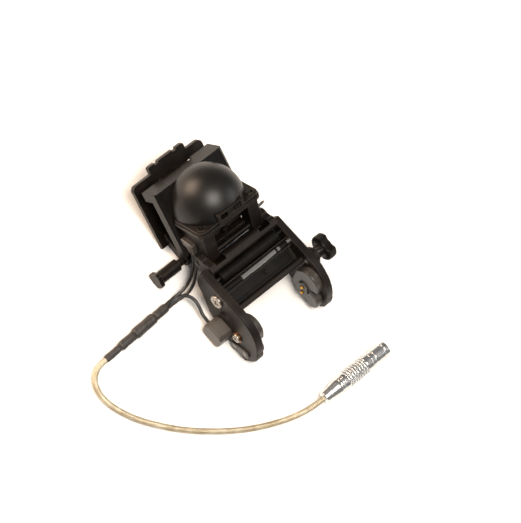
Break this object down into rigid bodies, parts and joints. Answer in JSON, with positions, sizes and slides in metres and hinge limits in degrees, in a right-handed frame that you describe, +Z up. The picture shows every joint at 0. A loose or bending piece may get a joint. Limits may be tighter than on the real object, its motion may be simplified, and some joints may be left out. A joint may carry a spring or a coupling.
{
  "type": "pan tilt camera mount",
  "caption": "Tilting camera mount: quick-fix plate with height slide, domed housing, flip-up two-eared fork and a braided lead to a round plug.",
  "frame": {"origin": "on the table, under the middle of the mount without its cords", "axes": "+X to the knob side, -Y to the front of the fork, +Z up from the table"},
  "size_m": [0.1445, 0.1568, 0.0522],
  "materials": {
    "black_anodised": "satin black anodised aluminium",
    "black_housing": "satin moulded black nylon",
    "dome_black": "semi-gloss moulded black",
    "grey_guide": "moulded grey acetal",
    "grey_block": "moulded grey nylon",
    "steel": "zinc plated steel",
    "polished_steel": "ground and polished steel",
    "bronze": "bronze",
    "gold": "gold plated",
    "knob_black": "moulded black nylon",
    "wire_black": "black wire insulation",
    "heat_shrink": "matt dark grey heat-shrink",
    "braid": "tinned copper braid",
    "plug_chrome": "satin chrome on brass",
    "insulator": "black moulded insulator",
    "bare_wire": "grey sprung wire"
  },
  "bodies": {
    "base": {"rear_plate": "black_anodised", "slide_rail": "black_anodised", "rail_screws": "steel", "release_spring": "steel"},
    "release": {"release_bar": "black_anodised", "release_cap": "grey_block"},
    "carriage": {"housing_shell": "black_housing", "back_cover": "black_housing", "housing_screws": "steel", "bracket": "black_anodised", "bezel_plate": "black_anodised", "bezel_screws": "steel", "dome_cover": "dome_black", "latch_frame": "black_anodised", "guide_rod": "steel", "hinge_pin": "steel", "wire_boot": "grey_guide", "wire_bail": "bare_wire", "wire_back": "wire_black", "wire_front": "wire_black", "splice_mouth": "heat_shrink", "splice_body": "heat_shrink", "splice_waist": "heat_shrink", "splice_tail": "heat_shrink", "braided_lead": "braid", "plug_nut": "plug_chrome", "plug_grip": "plug_chrome", "plug_nose": "plug_chrome", "plug_insert": "insulator", "plug_pins": "gold"},
    "latch": {"latch_slider": "black_housing"},
    "fork": {"fork_deck": "black_anodised", "roller_axle": "steel", "steel_rod": "polished_steel", "inner_panel": "black_housing", "panel_boss": "polished_steel", "left_ear": "black_anodised", "right_ear": "black_anodised", "left_guide": "grey_guide", "right_guide": "grey_guide", "ear_screws": "steel", "lock_screws": "steel", "lock_rings": "bronze", "plunger_springs": "steel", "contact_block": "insulator", "knob_washer": "steel", "sensor_block": "grey_block", "oval_cover": "grey_guide", "oval_screws": "steel", "sensor_wire": "wire_black"},
    "roller": {"slot_roller": "black_housing"},
    "knob": {"thumb_knob": "knob_black", "knob_stem": "steel"},
    "left_detent": {"left_plunger": "steel"},
    "right_detent": {"right_plunger": "steel"},
    "contacts": {"contact_pins": "gold"}
  },
  "joints": [
    {"name": "height_slide", "type": "slide", "parent": "base", "child": "carriage", "axis": [0, 0.866, 0.5], "range_m": [0, 0.008]},
    {"name": "release_press", "type": "slide", "parent": "base", "child": "release", "axis": [1, 0, 0], "range_m": [0, 0.004], "stiffness_N_per_m": 400},
    {"name": "fork_flip", "type": "hinge", "parent": "carriage", "child": "fork", "pos_m": [0, 0.00048, 0.02476], "axis": [-1, 0, 0], "range_deg": [-5, 60], "deforming": ["sensor_wire"]},
    {"name": "latch_slide", "type": "slide", "parent": "carriage", "child": "latch", "axis": [-1, 0, 0], "range_m": [0, 0.0045]},
    {"name": "roller_turn", "type": "hinge", "parent": "fork", "child": "roller", "pos_m": [0, -0.01231, 0.02609], "axis": [1, 0, 0], "continuous": true},
    {"name": "knob_turn", "type": "hinge", "parent": "fork", "child": "knob", "pos_m": [0.036, -0.03289, 0.02623], "axis": [1, 0, 0], "range_deg": [0, 180]},
    {"name": "left_detent_press", "type": "slide", "parent": "fork", "child": "left_detent", "axis": [-1, 0, 0], "range_m": [0, 0.0014], "stiffness_N_per_m": 500},
    {"name": "right_detent_press", "type": "slide", "parent": "fork", "child": "right_detent", "axis": [1, 0, 0], "range_m": [0, 0.0014], "stiffness_N_per_m": 500},
    {"name": "contact_press", "type": "slide", "parent": "fork", "child": "contacts", "axis": [1, 0, 0], "range_m": [0, 0.0006], "stiffness_N_per_m": 300}
  ]
}
